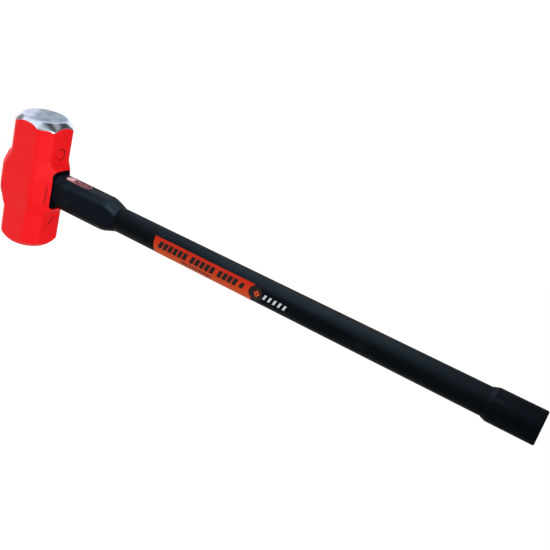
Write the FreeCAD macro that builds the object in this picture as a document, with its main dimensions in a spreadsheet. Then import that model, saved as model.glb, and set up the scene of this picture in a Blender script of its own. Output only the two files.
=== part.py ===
"""Double-faced sledgehammer with a steel-rod-cored rubber handle, standing on its head.

Frame: +Z runs up the handle, X is the striking direction, Y is the side. The origin is the middle of
the flat rest face on the eye boss. The head is octagonal and has a through eye with a counterbore at
each mouth. Six spring-steel rods run the whole length. They are peened over a locking plate at the
head and over a plate at the butt, and rubber mouldings cover them. All sizes are in millimetres.
"""
import FreeCAD, Part
import math
import os
import Sketcher

Vector = FreeCAD.Vector
SHEET = "Dims"

# Driving dimensions. Heights are measured from the rest face unless a comment says otherwise.
DIMENSIONS = {
    "head_length": 179.0,
    "head_mid_height": 44.5,
    "poll_half_depth": 34.5,
    "poll_half_width": 33.0,
    "poll_corner": 15.0,
    "boss_rest_rise": 10.0,
    "boss_grip_rise": 9.0,
    "boss_side_rise": 3.0,
    "near_boss_root": 35.5,
    "near_boss_shoulder": 28.0,
    "near_boss_crest": 14.0,
    "far_boss_root": 43.0,
    "far_boss_heel": 37.0,
    "far_boss_shoulder": 28.5,
    "far_boss_crest": 19.0,
    "shoulder_side_rise": 1.0,
    "near_shoulder_rest_corner": 22.0,
    "far_shoulder_rest_corner": 19.0,
    "heel_rest_corner": 21.0,
    "shoulder_grip_corner": 21.5,
    "crest_rest_corner": 16.5,
    "crest_grip_corner": 21.0,
    "face_radius": 28.0,
    "crown_centre": 51.0,
    "eye_length": 48.0,
    "eye_width": 24.0,
    "eye_corner": 7.0,
    "mouth_length": 54.0,
    "mouth_width": 32.0,
    "mouth_corner": 8.0,
    "mouth_depth": 9.0,
    "plate_thickness": 5.0,
    "fit_gap": 0.1,
    "bond_gap": 0.05,
    "rod_radius": 3.0,
    "rod_head_radius": 4.1,
    "rod_head_height": 2.6,
    "rod_head_chamfer": 0.9,
    "rod_pitch_x": 9.0,
    "rod_offset_y": 4.5,
    "overall_length": 762.0,
    "neck_flange": 3.0,
    "neck_flare_height": 105.0,
    "neck_cone_start": 171.5,
    "neck_end": 191.0,
    "neck_half_depth": 21.5,
    "neck_root_half_width": 14.4,
    "neck_half_width": 16.4,
    "neck_root_flat": 9.0,
    "neck_flat": 10.0,
    "neck_bevel_depth": 9.0,
    "neck_end_bevel_depth": 6.5,
    "neck_cone_radius": 23.5,
    "sleeve_start_radius": 16.4,
    "sleeve_end_radius": 17.5,
    "collar_start": 700.0,
    "collar_shoulder": 707.5,
    "collar_radius": 20.2,
    "collar_lip": 0.7,
    "collar_edge": 1.5,
    "butt_plate_radius": 15.0,
    "butt_plate_bottom": 742.0,
    "butt_plate_thickness": 4.0,
    "spacer_radius": 14.0,
    "spacer_thickness": 4.0,
    "spacer_first": 225.0,
    "spacer_pitch": 145.0,
    "label_start": 256.5,
    "label_end": 405.0,
    "label_first_angle": 234.0,
    "label_sweep": 106.0,
    "label_thickness": 0.25,
    "emblem_length": 15.0,
    "emblem_gap": 0.5,
    "emblem_first_angle": 243.0,
    "emblem_sweep": 57.0,
    "badge_start": 93.5,
    "badge_length": 42.5,
    "badge_width": 15.0,
    "badge_thickness": 0.5,
    "badge_corner": 5.0,
}
ROD_COLUMNS = (-1, 0, 1)
ROD_ROWS = (-1, 1)
SPACER_COUNT = 4
CORNER_SIGNS = ((1, 1), (-1, 1), (-1, -1), (1, -1))
QUARTER = math.pi / 2
FULL_TURN = 360.0

document = FreeCAD.newDocument("Sledgehammer")
sheet = document.addObject("Spreadsheet::Sheet", SHEET)
for row, (alias, value) in enumerate(DIMENSIONS.items(), start=1):
    cell = f"B{row}"
    sheet.set(f"A{row}", alias)
    sheet.set(cell, str(value))
    sheet.setAlias(cell, alias)
document.recompute()


class Size:
    """A length or angle: the sheet expression that it is bound to, and its value now."""

    def __init__(self, text, value):
        self.text = text
        self.value = value

    def _join(self, sign, other, value):
        other_text = other.text if isinstance(other, Size) else repr(other)
        return Size(f"({self.text} {sign} {other_text})", value)

    def __add__(self, other):
        return self._join("+", other, self.value + number(other))

    def __sub__(self, other):
        return self._join("-", other, self.value - number(other))

    def __mul__(self, other):
        return self._join("*", other, self.value * number(other))

    def __truediv__(self, other):
        return self._join("/", other, self.value / number(other))

    def __neg__(self):
        return Size(f"(0 - {self.text})", -self.value)


def number(size):
    """The plain value of a Size or of a number."""
    return size.value if isinstance(size, Size) else size


def dim(alias):
    """The named driving dimension."""
    return Size(f"{SHEET}.{alias}", DIMENSIONS[alias])


def fixed(value):
    """A plain number where a Size is expected, such as a point on an axis."""
    return Size(repr(float(value)), float(value))


def hypotenuse(first, second):
    """Long side of a right-angled triangle."""
    text = f"sqrt({first.text} ^ 2 + {second.text} ^ 2)"
    return Size(text, math.hypot(first.value, second.value))


ZERO = fixed(0)


def bind(feature, path, size):
    """Tie a property to the sheet."""
    feature.setExpression(path, size.text)


def new_body(name):
    body = document.addObject("PartDesign::Body", name)
    body.Label = name
    return body


def origin_plane(body, role):
    return next(item for item in body.Origin.OriginFeatures if item.Role == role)


def new_sketch(body, name, role, offset=None):
    """A sketch on one of the body's own origin planes, moved along that plane's normal by offset."""
    sketch = body.newObject("Sketcher::SketchObject", f"{body.Name}_{name}")
    sketch.AttachmentSupport = [(origin_plane(body, role), "")]
    sketch.MapMode = "FlatFace"
    if offset is not None:
        bind(sketch, "AttachmentOffset.Base.z", offset)
    return sketch


def pin_point(sketch, geometry, point, x, y):
    """Fix one point of a sketch element at sheet-driven coordinates."""
    for kind, size in (("DistanceX", x), ("DistanceY", y)):
        index = sketch.addConstraint(Sketcher.Constraint(kind, -1, 1, geometry, point, size.value))
        bind(sketch, f"Constraints[{index}]", size)


def polygon(body, name, role, points, offset=None):
    """A closed outline of straight lines whose corners are all driven by the sheet."""
    sketch = new_sketch(body, name, role, offset)
    corners = [Vector(x.value, y.value, 0) for x, y in points]
    for start, end in zip(corners, corners[1:] + corners[:1]):
        sketch.addGeometry(Part.LineSegment(start, end), False)
    count = len(points)
    for index in range(count):
        sketch.addConstraint(Sketcher.Constraint("Coincident", index, 2, (index + 1) % count, 1))
    for index, (x, y) in enumerate(points):
        pin_point(sketch, index, 1, x, y)
    return sketch


def rounded_rectangle(body, name, half_x, half_y, radius, offset):
    """A rectangle with four equal round corners, centred on the handle axis."""
    sketch = new_sketch(body, name, "XY_Plane", offset)
    centres = [((half_x - radius) * sign_x, (half_y - radius) * sign_y) for sign_x, sign_y in CORNER_SIGNS]
    for turn, (x, y) in enumerate(centres):
        circle = Part.Circle(Vector(x.value, y.value, 0), Vector(0, 0, 1), radius.value)
        sketch.addGeometry(Part.ArcOfCircle(circle, turn * QUARTER, (turn + 1) * QUARTER), False)
    count = len(centres)
    for turn in range(count):
        start = sketch.getPoint(turn, 2)
        end = sketch.getPoint((turn + 1) % count, 1)
        sketch.addGeometry(Part.LineSegment(start, end), False)
    for turn, (x, y) in enumerate(centres):
        line = count + turn
        sketch.addConstraint(Sketcher.Constraint("Tangent", turn, 2, line, 1))
        sketch.addConstraint(Sketcher.Constraint("Tangent", line, 2, (turn + 1) % count, 1))
        pin_point(sketch, turn, 3, x, y)
    index = sketch.addConstraint(Sketcher.Constraint("Radius", 0, radius.value))
    bind(sketch, f"Constraints[{index}]", radius)
    return sketch


def round_outline(body, name, radius, offset):
    """A circle about the handle axis."""
    sketch = new_sketch(body, name, "XY_Plane", offset)
    sketch.addGeometry(Part.Circle(Vector(), Vector(0, 0, 1), radius.value), False)
    sketch.addConstraint(Sketcher.Constraint("Coincident", 0, 3, -1, 1))
    index = sketch.addConstraint(Sketcher.Constraint("Radius", 0, radius.value))
    bind(sketch, f"Constraints[{index}]", radius)
    return sketch


def pad(body, sketch, length):
    feature = body.newObject("PartDesign::Pad", f"{sketch.Name}_pad")
    feature.Profile = sketch
    bind(feature, "Length", length)
    document.recompute()


def check_removed(body, feature, before):
    """Stop the build if a cut took no material away."""
    if body.Shape.Volume >= before:
        raise RuntimeError(f"{feature.Name} removed nothing")


def pocket(body, sketch, depth):
    """Remove the outline's prism upward from the sketch."""
    before = body.Shape.Volume
    feature = body.newObject("PartDesign::Pocket", f"{sketch.Name}_pocket")
    feature.Profile = sketch
    feature.Reversed = True
    bind(feature, "Length", depth)
    document.recompute()
    check_removed(body, feature, before)


def loft(body, sketches):
    feature = body.newObject("PartDesign::AdditiveLoft", f"{body.Name}_loft")
    feature.Profile = sketches[0]
    feature.Sections = sketches[1:]
    feature.Ruled = True
    document.recompute()


def turned(body, sketch, kind, axis):
    """A feature that takes an outline all the way round one of the sketch's own axes."""
    feature = body.newObject(f"PartDesign::{kind}", f"{sketch.Name}_turned")
    feature.Profile = sketch
    feature.ReferenceAxis = (sketch, [axis])
    feature.Angle = FULL_TURN
    return feature


def revolve(body, sketch, angle=None):
    """Add an outline turned about the handle axis, through an angle or all the way."""
    feature = turned(body, sketch, "Revolution", "V_Axis")
    if angle is not None:
        bind(feature, "Angle", angle)
    document.recompute()


def groove(body, sketch, axis="V_Axis"):
    """Remove an outline turned all the way round."""
    before = body.Shape.Volume
    feature = turned(body, sketch, "Groove", axis)
    document.recompute()
    check_removed(body, feature, before)


def rod_positions():
    """Centre of each rod, in the order in which the rods are numbered."""
    pitch = dim("rod_pitch_x")
    offset = dim("rod_offset_y")
    return [(pitch * column, offset * row) for row in ROD_ROWS for column in ROD_COLUMNS]


def rod_holes(body, bottom, depth):
    """Six round holes for the rods, bored upward from a height."""
    sketch = new_sketch(body, "rod_holes", "XY_Plane", bottom)
    radius = dim("rod_radius") + dim("bond_gap")
    for index, (x, y) in enumerate(rod_positions()):
        sketch.addGeometry(Part.Circle(Vector(x.value, y.value, 0), Vector(0, 0, 1), radius.value), False)
        pin_point(sketch, index, 3, x, y)
        constraint = sketch.addConstraint(Sketcher.Constraint("Radius", index, radius.value))
        bind(sketch, f"Constraints[{constraint}]", radius)
    pocket(body, sketch, depth)


# Heights that several pieces share.
HEAD_MID = dim("head_mid_height")
GRIP_FACE = HEAD_MID + dim("poll_half_depth") + dim("boss_grip_rise")
PLATE_SEAT = dim("mouth_depth")
GRIP_SEAT = GRIP_FACE - dim("mouth_depth")
LOWER_PLATE_TOP = GRIP_SEAT + dim("plate_thickness")
BUTT_PLATE_TOP = dim("butt_plate_bottom") + dim("butt_plate_thickness")


def octagon_points(rest, grip, side, rest_corner, grip_corner):
    """Section across the head in Y and Z, about its middle, with one corner cut for each Z side."""
    return [
        (side, rest_corner - rest),
        (side, grip - grip_corner),
        (side - grip_corner, grip),
        (grip_corner - side, grip),
        (-side, grip - grip_corner),
        (-side, rest_corner - rest),
        (rest_corner - side, -rest),
        (side - rest_corner, -rest),
    ]


def head_sections(side):
    """Distance from the middle and section outline for each station on the near or the far side."""
    depth = dim("poll_half_depth")
    width = dim("poll_half_width")
    poll = octagon_points(depth, depth, width, dim("poll_corner"), dim("poll_corner"))
    rest = depth + dim("boss_rest_rise")
    grip = depth + dim("boss_grip_rise")
    shoulder_side = width + dim("shoulder_side_rise")
    shoulder_corner = dim(f"{side}_shoulder_rest_corner")
    shoulder = octagon_points(rest, grip, shoulder_side, shoulder_corner, dim("shoulder_grip_corner"))
    crest_side = width + dim("boss_side_rise")
    crest = octagon_points(rest, grip, crest_side, dim("crest_rest_corner"), dim("crest_grip_corner"))
    stations = [
        (dim("head_length") / 2, poll),
        (dim(f"{side}_boss_root"), poll),
        (dim(f"{side}_boss_shoulder"), shoulder),
        (dim(f"{side}_boss_crest"), crest),
    ]
    if side == "far":
        # On this side the boss ends sooner on the grip face than on the rest face.
        heel = octagon_points(rest, depth, width, dim("heel_rest_corner"), dim("poll_corner"))
        stations.insert(2, (dim("far_boss_heel"), heel))
    return stations


def crown_cut(body, way):
    """Turn one striking end down to a crowned bevel: all that lies outside a sphere comes off."""
    centre = dim("crown_centre") * way
    radius = hypotenuse(dim("face_radius"), dim("head_length") / 2 - dim("crown_centre"))
    tip = centre + radius * way
    outside = radius + dim("boss_rest_rise")
    near = way < 0
    sketch = new_sketch(body, "near_crown" if near else "far_crown", "XZ_Plane")
    circle = Part.Circle(Vector(centre.value, 0, 0), Vector(0, 0, 1), radius.value)
    turn = QUARTER if near else 0
    sketch.addGeometry(Part.ArcOfCircle(circle, turn, turn + QUARTER), False)
    first, last = (tip, ZERO), (centre, radius)
    if near:
        first, last = last, first
    corners = [last, (last[0], outside), (first[0], outside), first]
    for begin, end in zip(corners, corners[1:]):
        start = Vector(begin[0].value, begin[1].value, 0)
        stop = Vector(end[0].value, end[1].value, 0)
        sketch.addGeometry(Part.LineSegment(start, stop), False)
    count = len(corners)
    for index in range(count):
        sketch.addConstraint(Sketcher.Constraint("Coincident", index, 2, (index + 1) % count, 1))
    pin_point(sketch, 0, 1, *first)
    for index, corner in enumerate(corners[:-1]):
        pin_point(sketch, index, 2, *corner)
    index = sketch.addConstraint(Sketcher.Constraint("Radius", 0, radius.value))
    bind(sketch, f"Constraints[{index}]", radius)
    groove(body, sketch, "H_Axis")


def build_head():
    """Forged head: two octagonal polls, a raised boss round the eye, crowned ends and the eye itself."""
    body = new_body("head")
    bind(body, "Placement.Base.z", HEAD_MID)
    sketches = []
    for side, way in (("near", -1), ("far", 1)):
        stations = head_sections(side)
        if way > 0:
            stations.reverse()
        for index, (distance, points) in enumerate(stations, start=1):
            sketches.append(polygon(body, f"{side}_{index}", "YZ_Plane", points, distance * way))
    loft(body, sketches)
    crown_cut(body, 1)
    crown_cut(body, -1)
    rest_face = -HEAD_MID
    eye = rounded_rectangle(
        body, "eye", dim("eye_length") / 2, dim("eye_width") / 2, dim("eye_corner"), rest_face
    )
    pocket(body, eye, GRIP_FACE)
    for name, bottom in (("rest_mouth", rest_face), ("grip_mouth", GRIP_SEAT - HEAD_MID)):
        mouth = rounded_rectangle(
            body, name, dim("mouth_length") / 2, dim("mouth_width") / 2, dim("mouth_corner"), bottom
        )
        pocket(body, mouth, dim("mouth_depth"))
    return body


def build_lock_plate(name, bottom):
    """Steel plate wider than the eye, seated in a mouth, that the rods hold."""
    body = new_body(name)
    gap = dim("fit_gap")
    half_x = dim("mouth_length") / 2 - gap
    half_y = dim("mouth_width") / 2 - gap
    outline = rounded_rectangle(body, "outline", half_x, half_y, dim("mouth_corner") - gap, bottom)
    pad(body, outline, dim("plate_thickness"))
    rod_holes(body, bottom, dim("plate_thickness"))
    return body


def build_eye_filler():
    """Rubber that fills the eye between the two locking plates."""
    body = new_body("eye_filler")
    gap = dim("bond_gap")
    half_x = dim("eye_length") / 2 - gap
    half_y = dim("eye_width") / 2 - gap
    outline = rounded_rectangle(body, "outline", half_x, half_y, dim("eye_corner") - gap, PLATE_SEAT)
    pad(body, outline, GRIP_SEAT - PLATE_SEAT)
    rod_holes(body, PLATE_SEAT, GRIP_SEAT - PLATE_SEAT)
    return body


def build_rod(index, x, y):
    """Spring-steel rod, peened over the upper locking plate at one end and the butt plate at the other."""
    body = new_body(f"rod_{index}")
    bind(body, "Placement.Base.x", x)
    bind(body, "Placement.Base.y", y)
    radius = dim("rod_radius")
    head_radius = dim("rod_head_radius")
    chamfer = dim("rod_head_chamfer")
    seat = PLATE_SEAT - dim("plate_thickness")
    foot = seat - dim("rod_head_height")
    crown = BUTT_PLATE_TOP + dim("rod_head_height")
    outline = [
        (ZERO, foot),
        (head_radius - chamfer, foot),
        (head_radius, foot + chamfer),
        (head_radius, seat),
        (radius, seat),
        (radius, BUTT_PLATE_TOP),
        (head_radius, BUTT_PLATE_TOP),
        (head_radius, crown - chamfer),
        (head_radius - chamfer, crown),
        (ZERO, crown),
    ]
    revolve(body, polygon(body, "outline", "XZ_Plane", outline))
    return body


def neck_points(half_width, flat, bevel_depth):
    """Bevelled oblong section of the neck, in X and Y."""
    deep = dim("neck_half_depth")
    return [
        (deep, -flat),
        (deep, flat),
        (deep - bevel_depth, half_width),
        (bevel_depth - deep, half_width),
        (-deep, flat),
        (-deep, -flat),
        (bevel_depth - deep, -half_width),
        (deep - bevel_depth, -half_width),
    ]


def build_neck_boot():
    """Rubber neck: a flange in the grip-side mouth, a bevelled oblong, and a cone down to the shaft."""
    body = new_body("neck_boot")
    bevel = dim("neck_bevel_depth")
    root = neck_points(dim("neck_root_half_width"), dim("neck_root_flat"), bevel)
    flare = neck_points(dim("neck_half_width"), dim("neck_flat"), bevel)
    end = neck_points(dim("neck_half_width"), dim("neck_flat"), dim("neck_end_bevel_depth"))
    sections = [(GRIP_FACE, root), (dim("neck_flare_height"), flare), (dim("neck_end"), end)]
    loft(
        body,
        [
            polygon(body, f"section_{index}", "XY_Plane", points, height)
            for index, (height, points) in enumerate(sections, start=1)
        ],
    )
    gap = dim("fit_gap")
    flange = rounded_rectangle(
        body,
        "flange",
        dim("mouth_length") / 2 - gap,
        dim("mouth_width") / 2 - gap,
        dim("mouth_corner") - gap,
        LOWER_PLATE_TOP,
    )
    pad(body, flange, dim("neck_flange"))
    stem = polygon(body, "stem", "XY_Plane", root, LOWER_PLATE_TOP)
    pad(body, stem, GRIP_FACE - LOWER_PLATE_TOP)
    outside = dim("neck_cone_radius") + dim("neck_half_depth")
    cone = [
        (dim("neck_cone_radius"), dim("neck_cone_start")),
        (outside, dim("neck_cone_start")),
        (outside, dim("neck_end")),
        (dim("sleeve_start_radius"), dim("neck_end")),
    ]
    groove(body, polygon(body, "cone", "XZ_Plane", cone))
    rod_holes(body, LOWER_PLATE_TOP, dim("neck_end") - LOWER_PLATE_TOP)
    return body


def sleeve_radius(height):
    """Outer radius of the tapered shaft sleeve at a height."""
    run = dim("butt_plate_bottom") - dim("neck_end")
    growth = dim("sleeve_end_radius") - dim("sleeve_start_radius")
    return dim("sleeve_start_radius") + growth * (height - dim("neck_end")) / run


def spacer_height(index):
    return dim("spacer_first") + dim("spacer_pitch") * index


def build_shaft_sleeve():
    """Rubber shaft moulded round the rods and the spacer discs."""
    body = new_body("shaft_sleeve")
    top = dim("butt_plate_bottom")
    outline = [
        (ZERO, dim("neck_end")),
        (dim("sleeve_start_radius"), dim("neck_end")),
        (dim("sleeve_end_radius"), top),
        (ZERO, top),
    ]
    revolve(body, polygon(body, "outline", "XZ_Plane", outline))
    for index in range(SPACER_COUNT):
        low = spacer_height(index)
        high = low + dim("spacer_thickness")
        reach = dim("spacer_radius") + dim("bond_gap")
        cavity = [(ZERO, low), (reach, low), (reach, high), (ZERO, high)]
        groove(body, polygon(body, f"cavity_{index + 1}", "XZ_Plane", cavity))
    rod_holes(body, dim("neck_end"), top - dim("neck_end"))
    return body


def build_disc(name, radius, bottom, thickness):
    """A plate or spacer disc that the six rods pass through."""
    body = new_body(name)
    pad(body, round_outline(body, "outline", radius, bottom), thickness)
    rod_holes(body, bottom, thickness)
    return body


def build_butt_collar():
    """Closed rubber collar over the butt, with a coned shoulder and an eased end edge."""
    body = new_body("butt_collar")
    bore = dim("sleeve_end_radius") + dim("bond_gap")
    lip = bore + dim("collar_lip")
    plate_bore = dim("butt_plate_radius") + dim("bond_gap")
    plate_top = BUTT_PLATE_TOP + dim("rod_head_height")
    top = dim("overall_length")
    edge = dim("collar_edge")
    outline = [
        (bore, dim("collar_start")),
        (lip, dim("collar_start")),
        (dim("collar_radius"), dim("collar_shoulder")),
        (dim("collar_radius"), top - edge),
        (dim("collar_radius") - edge, top),
        (ZERO, top),
        (ZERO, plate_top),
        (plate_bore, plate_top),
        (plate_bore, dim("butt_plate_bottom")),
        (bore, dim("butt_plate_bottom")),
    ]
    revolve(body, polygon(body, "outline", "XZ_Plane", outline))
    return body


def build_wrap(name, start, end, first_angle, sweep):
    """Thin film wrapped part of the way round the shaft sleeve."""
    body = new_body(name)
    body.Placement = FreeCAD.Placement(Vector(), FreeCAD.Rotation(Vector(0, 0, 1), first_angle.value))
    bind(body, "Placement.Rotation.Angle", first_angle)
    gap = dim("bond_gap")
    film = dim("label_thickness")
    low = sleeve_radius(start) + gap
    high = sleeve_radius(end) + gap
    outline = [(low, start), (low + film, start), (high + film, end), (high, end)]
    revolve(body, polygon(body, "outline", "XZ_Plane", outline), sweep)
    return body


def build_badge():
    """Thin moulded badge on the neck's flat, on the side of the near striking face."""
    body = new_body("neck_badge")
    surface = -dim("neck_half_depth") - dim("badge_thickness")
    low = dim("badge_start")
    high = low + dim("badge_length")
    half = dim("badge_width") / 2
    corner = dim("badge_corner")
    outline = [
        (half, low + corner),
        (half, high - corner),
        (half - corner, high),
        (corner - half, high),
        (-half, high - corner),
        (-half, low + corner),
        (corner - half, low),
        (half - corner, low),
    ]
    pad(body, polygon(body, "outline", "YZ_Plane", outline, surface), dim("badge_thickness"))
    return body


def build_hammer():
    """Every piece of the hammer, as separate bodies."""
    pieces = [
        build_head(),
        build_lock_plate("rest_lock_plate", PLATE_SEAT - dim("plate_thickness")),
        build_lock_plate("grip_lock_plate", GRIP_SEAT),
        build_eye_filler(),
        build_neck_boot(),
        build_shaft_sleeve(),
        build_butt_collar(),
        build_badge(),
    ]
    pieces += [build_rod(index, x, y) for index, (x, y) in enumerate(rod_positions(), start=1)]
    for index in range(SPACER_COUNT):
        spacer = build_disc(
            f"rod_spacer_{index + 1}", dim("spacer_radius"), spacer_height(index), dim("spacer_thickness")
        )
        pieces.append(spacer)
    butt_plate = build_disc(
        "butt_plate", dim("butt_plate_radius"), dim("butt_plate_bottom"), dim("butt_plate_thickness")
    )
    pieces.append(butt_plate)
    label_end = dim("label_end")
    label = build_wrap(
        "label_decal", dim("label_start"), label_end, dim("label_first_angle"), dim("label_sweep")
    )
    emblem_start = label_end + dim("emblem_gap")
    emblem = build_wrap(
        "emblem_decal",
        emblem_start,
        emblem_start + dim("emblem_length"),
        dim("emblem_first_angle"),
        dim("emblem_sweep"),
    )
    return pieces + [label, emblem]


def export(pieces):
    """Check every object and shape, then write one STEP file for each piece."""
    document.recompute()
    failed = [item.Name for item in document.Objects if {"Invalid", "Error"} & set(item.State)]
    if failed:
        raise RuntimeError(f"failed objects: {failed}")
    os.makedirs("parts", exist_ok=True)
    for piece in pieces:
        shape = piece.Shape
        if shape.isNull() or not shape.isValid() or len(shape.Solids) != 1:
            raise RuntimeError(f"{piece.Label} is not one valid solid")
        shape.exportStep(f"parts/{piece.Label}.step")
        box = shape.BoundBox
        low = ", ".join(f"{value:.2f}" for value in (box.XMin, box.YMin, box.ZMin))
        high = ", ".join(f"{value:.2f}" for value in (box.XMax, box.YMax, box.ZMax))
        print(f"{piece.Label}: volume {shape.Volume:.0f}, from {low} to {high}")


export(build_hammer())
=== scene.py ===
"""Looks for the sledgehammer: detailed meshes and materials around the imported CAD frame.

Everything is in metres in the row frame: +Z up the handle, X the striking direction, Y the side.
Shapes are worked out from the CAD boxes in millimetres and written to meshes in metres.
"""

import math

import bmesh
import bpy
import numpy as np
from mathutils import Matrix, Vector


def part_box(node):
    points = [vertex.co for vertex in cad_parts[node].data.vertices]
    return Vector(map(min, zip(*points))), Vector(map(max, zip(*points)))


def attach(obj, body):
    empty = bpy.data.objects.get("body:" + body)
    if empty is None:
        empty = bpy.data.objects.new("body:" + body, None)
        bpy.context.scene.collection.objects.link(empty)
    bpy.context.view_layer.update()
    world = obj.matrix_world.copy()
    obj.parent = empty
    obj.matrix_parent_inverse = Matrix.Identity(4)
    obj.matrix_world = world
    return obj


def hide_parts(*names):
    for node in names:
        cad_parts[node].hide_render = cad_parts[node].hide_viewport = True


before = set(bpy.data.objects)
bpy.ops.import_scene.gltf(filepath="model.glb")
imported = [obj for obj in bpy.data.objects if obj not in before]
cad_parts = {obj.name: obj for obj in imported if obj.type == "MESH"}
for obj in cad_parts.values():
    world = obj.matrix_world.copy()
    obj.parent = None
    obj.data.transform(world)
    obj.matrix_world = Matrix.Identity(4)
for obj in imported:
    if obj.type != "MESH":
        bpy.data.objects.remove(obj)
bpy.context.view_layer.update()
MM = 0.001


def box_mm(node):
    """Lowest and highest corner of a CAD node, in millimetres."""
    low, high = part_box(node)
    return np.array(low) / MM, np.array(high) / MM


HEAD_LOW, HEAD_HIGH = box_mm("head")
NECK_LOW, NECK_HIGH = box_mm("neck_boot")
SLEEVE_HIGH = box_mm("shaft_sleeve")[1]
COLLAR_LOW, COLLAR_HIGH = box_mm("butt_collar")
LABEL_LOW, LABEL_HIGH = box_mm("label_decal")
BADGE_LOW, BADGE_HIGH = box_mm("neck_badge")

# ---------------------------------------------------------------- helpers

HALVINGS = 40
SETTLE_STEPS = 6
PROBE_STEP = 0.02
LONGEST_MOVE = 1.2
FLATTEST_GRADIENT = 0.05


def new_object(name, vertices, faces):
    """A mesh object from points in millimetres."""
    mesh = bpy.data.meshes.new(name)
    mesh.from_pydata((np.asarray(vertices, float) * MM).tolist(), [], faces)
    mesh.validate()
    mesh.update()
    mesh.shade_smooth()
    obj = bpy.data.objects.new(name, mesh)
    bpy.context.scene.collection.objects.link(obj)
    return obj


def smooth_max(a, b, radius):
    """The larger of two distance fields, with the edge between them rounded."""
    blend = np.maximum(radius - np.abs(a - b), 0) / radius
    return np.maximum(a, b) + blend * blend * radius / 4


def ramp(value, low, high):
    """Smooth step from 0 at low to 1 at high."""
    t = np.clip((value - low) / (high - low), 0, 1)
    return t * t * (3 - 2 * t)


def rounded_box_distance(x, y, half_x, half_y, corner):
    """Signed distance to a rounded rectangle."""
    qx = np.abs(x) - half_x + corner
    qy = np.abs(y) - half_y + corner
    outside = np.hypot(np.maximum(qx, 0), np.maximum(qy, 0))
    return outside + np.minimum(np.maximum(qx, qy), 0) - corner


def reach_along(inside, angle, near, far):
    """Distance from the axis, along each angle, at which a shape ends. inside tests arrays of x and y."""
    low, high = np.full(len(angle), near), np.full(len(angle), far)
    for _ in range(HALVINGS):
        middle = (low + high) / 2
        within = inside(middle * np.cos(angle), middle * np.sin(angle))
        low = np.where(within, middle, low)
        high = np.where(within, high, middle)
    return (low + high) / 2


def settle_on_surface(obj, field):
    """Move every vertex, in millimetres, along the field's gradient until it lies where the field is zero."""
    count = len(obj.data.vertices)
    flat = np.empty(count * 3, np.float32)
    obj.data.vertices.foreach_get("co", flat)
    points = flat.reshape(-1, 3).astype(float) / MM
    for _ in range(SETTLE_STEPS):
        value = field(points)
        gradient = np.empty_like(points)
        for axis in range(3):
            shift = np.zeros(3)
            shift[axis] = PROBE_STEP
            gradient[:, axis] = (field(points + shift) - field(points - shift)) / (2 * PROBE_STEP)
        length = np.maximum((gradient ** 2).sum(1), FLATTEST_GRADIENT)
        move = gradient * (value / length)[:, None]
        size = np.linalg.norm(move, axis=1, keepdims=True)
        points -= move * np.minimum(1, LONGEST_MOVE / np.maximum(size, 1e-9))
    obj.data.vertices.foreach_set("co", (points * MM).astype(np.float32).ravel())
    obj.data.update()


def remeshed_copy(node, name, voxel):
    """A copy of a CAD node's mesh, rebuilt as an even quad mesh."""
    obj = bpy.data.objects.new(name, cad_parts[node].data.copy())
    bpy.context.scene.collection.objects.link(obj)
    obj.data.materials.clear()
    modifier = obj.modifiers.new("even_quads", "REMESH")
    modifier.mode = "VOXEL"
    modifier.voxel_size = voxel * MM
    graph = bpy.context.evaluated_depsgraph_get()
    mesh = bpy.data.meshes.new_from_object(obj.evaluated_get(graph))
    obj.modifiers.clear()
    obj.data = mesh
    obj.data.shade_smooth()
    return obj


# ---------------------------------------------------------------- the head's shape

HEAD_MID = 44.5
HEAD_HALF = (HEAD_HIGH[0] - HEAD_LOW[0]) / 2
POLL_DEPTH = 34.5
POLL_WIDTH = 33.0
POLL_CORNER = 15.0
CROWN_RADIUS = 47.6
CROWN_CENTRE = 51.0
NEAR_STATIONS = (14.0, 28.0, 35.5)
FAR_STATIONS = (19.0, 28.5, 37.0, 43.0)
GRIP_DEPTH = HEAD_HIGH[2] - HEAD_MID
# Each line: values at the near stations, then at the far stations.
REST = (HEAD_MID, HEAD_MID, POLL_DEPTH), (HEAD_MID, HEAD_MID, HEAD_MID, POLL_DEPTH)
GRIP = (GRIP_DEPTH, GRIP_DEPTH, POLL_DEPTH), (GRIP_DEPTH, GRIP_DEPTH, POLL_DEPTH, POLL_DEPTH)
SIDE = (36.0, 34.0, POLL_WIDTH), (36.0, 34.0, POLL_WIDTH, POLL_WIDTH)
REST_CORNER = (16.5, 22.0, POLL_CORNER), (16.5, 19.0, 21.0, POLL_CORNER)
GRIP_CORNER = (21.0, 21.5, POLL_CORNER), (21.0, 21.5, POLL_CORNER, POLL_CORNER)
EYE_HALF = (24.0, 12.0, 7.0)
MOUTH_HALF = (27.0, 16.0, 8.0)
MOUTH_DEPTH = 9.0
EDGE_SOFTNESS = 3.2
RAMP_SOFTNESS = 5.0
LIP_SOFTNESS = 1.4
DIAGONAL = math.sqrt(2)
HEAD_VOXEL = 0.65
FORGING_WAVE = 0.12
CROWN_SOFTNESS = 1.2
MARK_HALF_WIDTH = 1.4
MARK_DEPTH = 1.0
MARK_FLOOR_SOFTNESS = 0.5
MARK_EDGE_SOFTNESS = 0.6
MOUTH_SOFTNESS = 0.8
RING_CENTRE, RING_RADIUS = (-47.0, 0.0), 7.5
STROKE = ((44.7, 5.9), (53.7, -4.9))
CREASE = ((-7.0, -22.4, 81.4), (21.4, -21.0, 82.8))
CREASE_RADIUS = 1.2


def segment_distance(points, start, end):
    """Distance from points to a straight segment."""
    start, end = np.array(start), np.array(end)
    along = end - start
    share = np.clip((points - start) @ along / (along @ along), 0, 1)
    return np.linalg.norm(points - start - share[:, None] * along, axis=1)


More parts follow.
